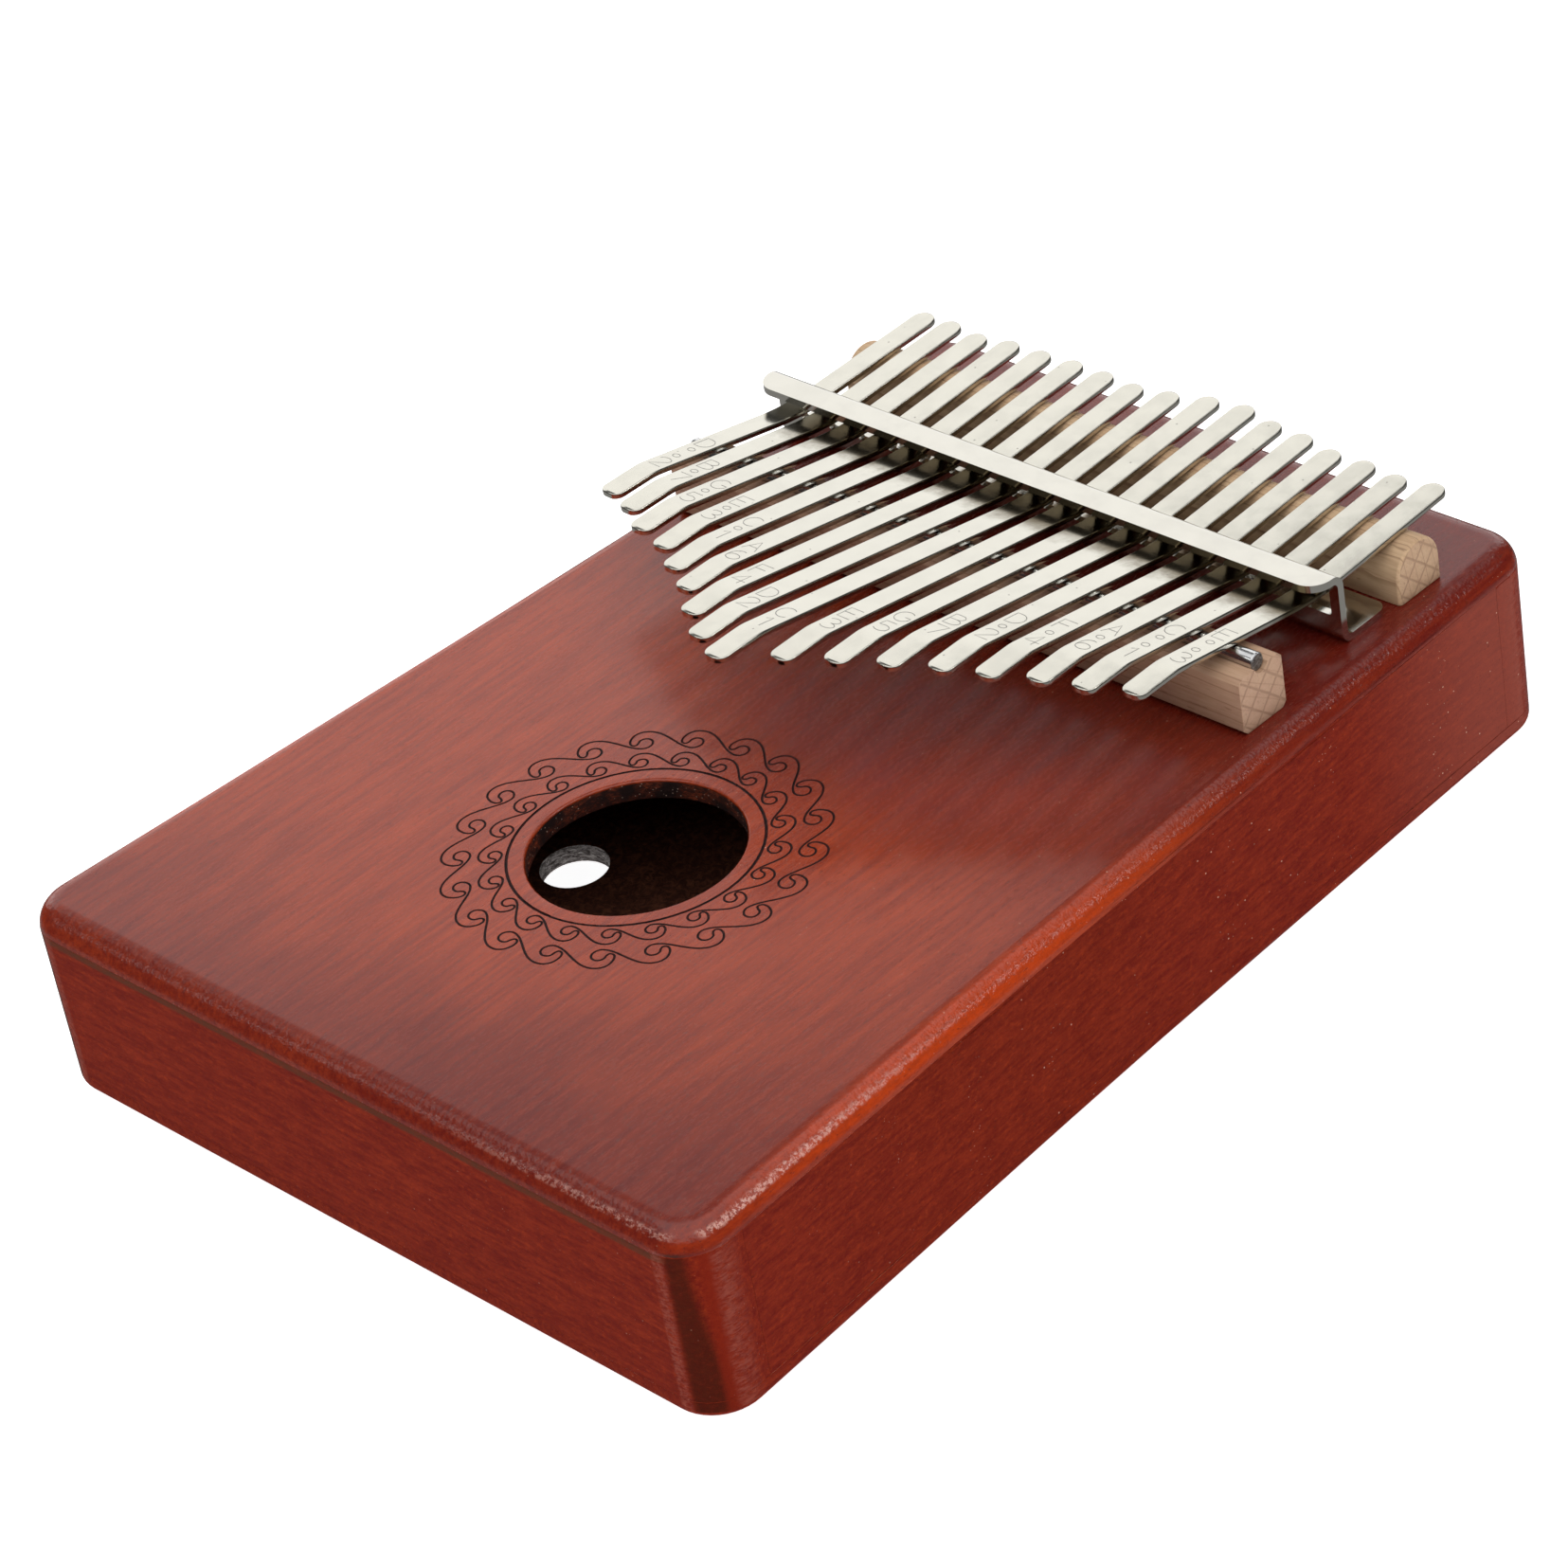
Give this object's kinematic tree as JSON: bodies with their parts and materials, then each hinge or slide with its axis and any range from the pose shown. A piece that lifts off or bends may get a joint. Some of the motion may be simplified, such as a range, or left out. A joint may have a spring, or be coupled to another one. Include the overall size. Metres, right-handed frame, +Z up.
{
  "type": "box mbira",
  "caption": "Hollow wooden box with a round sound hole and spring-steel keys held down by a folded bracket over two wooden bridges and a steel rod.",
  "frame": {"origin": "centre of the footprint, on the underside of the box", "axes": "+X runs across the keys, +Y runs lengthwise from the sound hole to the tails of the keys, +Z is up out of the soundboard"},
  "size_m": [0.1344, 0.185, 0.051],
  "materials": {
    "mahogany": "red-brown stain under satin lacquer",
    "raw_spruce": "unfinished",
    "beech": "sanded and sawn, unfinished",
    "rod_steel": "bright drawn",
    "nickel_plate": "polished nickel plate",
    "key_steel": "polished spring steel",
    "screw_steel": "nickel-plated"
  },
  "bodies": {
    "sound_box": {"back_plate": "mahogany", "soundboard": "mahogany", "front_block": "mahogany", "rear_block": "mahogany", "left_side": "mahogany", "right_side": "mahogany", "bracket_brace": "raw_spruce", "front_bridge": "beech", "saddle_rod": "rod_steel", "back_bridge": "beech", "z_bracket": "nickel_plate", "bracket_screws": "screw_steel"},
    "key_01_body": {"key_01": "key_steel"},
    "key_02_body": {"key_02": "key_steel"},
    "key_03_body": {"key_03": "key_steel"},
    "key_04_body": {"key_04": "key_steel"},
    "key_05_body": {"key_05": "key_steel"},
    "key_06_body": {"key_06": "key_steel"},
    "key_07_body": {"key_07": "key_steel"},
    "key_08_body": {"key_08": "key_steel"},
    "key_09_body": {"key_09": "key_steel"},
    "key_10_body": {"key_10": "key_steel"},
    "key_11_body": {"key_11": "key_steel"},
    "key_12_body": {"key_12": "key_steel"},
    "key_13_body": {"key_13": "key_steel"},
    "key_14_body": {"key_14": "key_steel"},
    "key_15_body": {"key_15": "key_steel"},
    "key_16_body": {"key_16": "key_steel"},
    "key_17_body": {"key_17": "key_steel"}
  },
  "joints": [
    {"name": "key_01_flex", "type": "hinge", "parent": "sound_box", "child": "key_01_body", "pos_m": [-0.05045, 0.0359, 0.0405], "axis": [1, 0, 0], "range_deg": [0, 2.5], "stiffness_Nm_per_rad": 7.1},
    {"name": "key_02_flex", "type": "hinge", "parent": "sound_box", "child": "key_02_body", "pos_m": [-0.0442, 0.0359, 0.0405], "axis": [1, 0, 0], "range_deg": [0, 2.5], "stiffness_Nm_per_rad": 6.4},
    {"name": "key_03_flex", "type": "hinge", "parent": "sound_box", "child": "key_03_body", "pos_m": [-0.03795, 0.0359, 0.0405], "axis": [1, 0, 0], "range_deg": [0, 2.5], "stiffness_Nm_per_rad": 5.5},
    {"name": "key_04_flex", "type": "hinge", "parent": "sound_box", "child": "key_04_body", "pos_m": [-0.0317, 0.0359, 0.0405], "axis": [1, 0, 0], "range_deg": [0, 2.5], "stiffness_Nm_per_rad": 5.1},
    {"name": "key_05_flex", "type": "hinge", "parent": "sound_box", "child": "key_05_body", "pos_m": [-0.02545, 0.0359, 0.0405], "axis": [1, 0, 0], "range_deg": [0, 2.5], "stiffness_Nm_per_rad": 4.5},
    {"name": "key_06_flex", "type": "hinge", "parent": "sound_box", "child": "key_06_body", "pos_m": [-0.0192, 0.0359, 0.0405], "axis": [1, 0, 0], "range_deg": [0, 2.5], "stiffness_Nm_per_rad": 4.1},
    {"name": "key_07_flex", "type": "hinge", "parent": "sound_box", "child": "key_07_body", "pos_m": [-0.01295, 0.0359, 0.0405], "axis": [1, 0, 0], "range_deg": [0, 2.5], "stiffness_Nm_per_rad": 3.6},
    {"name": "key_08_flex", "type": "hinge", "parent": "sound_box", "child": "key_08_body", "pos_m": [-0.0067, 0.0359, 0.0405], "axis": [1, 0, 0], "range_deg": [0, 2.5], "stiffness_Nm_per_rad": 3.3},
    {"name": "key_09_flex", "type": "hinge", "parent": "sound_box", "child": "key_09_body", "pos_m": [-0.00045, 0.0359, 0.0405], "axis": [1, 0, 0], "range_deg": [0, 2.5], "stiffness_Nm_per_rad": 3.1},
    {"name": "key_10_flex", "type": "hinge", "parent": "sound_box", "child": "key_10_body", "pos_m": [0.0058, 0.0359, 0.0405], "axis": [1, 0, 0], "range_deg": [0, 2.5], "stiffness_Nm_per_rad": 3.5},
    {"name": "key_11_flex", "type": "hinge", "parent": "sound_box", "child": "key_11_body", "pos_m": [0.01205, 0.0359, 0.0405], "axis": [1, 0, 0], "range_deg": [0, 2.5], "stiffness_Nm_per_rad": 3.9},
    {"name": "key_12_flex", "type": "hinge", "parent": "sound_box", "child": "key_12_body", "pos_m": [0.0183, 0.0359, 0.0405], "axis": [1, 0, 0], "range_deg": [0, 2.5], "stiffness_Nm_per_rad": 4.3},
    {"name": "key_13_flex", "type": "hinge", "parent": "sound_box", "child": "key_13_body", "pos_m": [0.02455, 0.0359, 0.0405], "axis": [1, 0, 0], "range_deg": [0, 2.5], "stiffness_Nm_per_rad": 4.8},
    {"name": "key_14_flex", "type": "hinge", "parent": "sound_box", "child": "key_14_body", "pos_m": [0.0308, 0.0359, 0.0405], "axis": [1, 0, 0], "range_deg": [0, 2.5], "stiffness_Nm_per_rad": 5.3},
    {"name": "key_15_flex", "type": "hinge", "parent": "sound_box", "child": "key_15_body", "pos_m": [0.03705, 0.0359, 0.0405], "axis": [1, 0, 0], "range_deg": [0, 2.5], "stiffness_Nm_per_rad": 6},
    {"name": "key_16_flex", "type": "hinge", "parent": "sound_box", "child": "key_16_body", "pos_m": [0.0433, 0.0359, 0.0405], "axis": [1, 0, 0], "range_deg": [0, 2.5], "stiffness_Nm_per_rad": 6.6},
    {"name": "key_17_flex", "type": "hinge", "parent": "sound_box", "child": "key_17_body", "pos_m": [0.04955, 0.0359, 0.0405], "axis": [1, 0, 0], "range_deg": [0, 2.5], "stiffness_Nm_per_rad": 7.7}
  ]
}
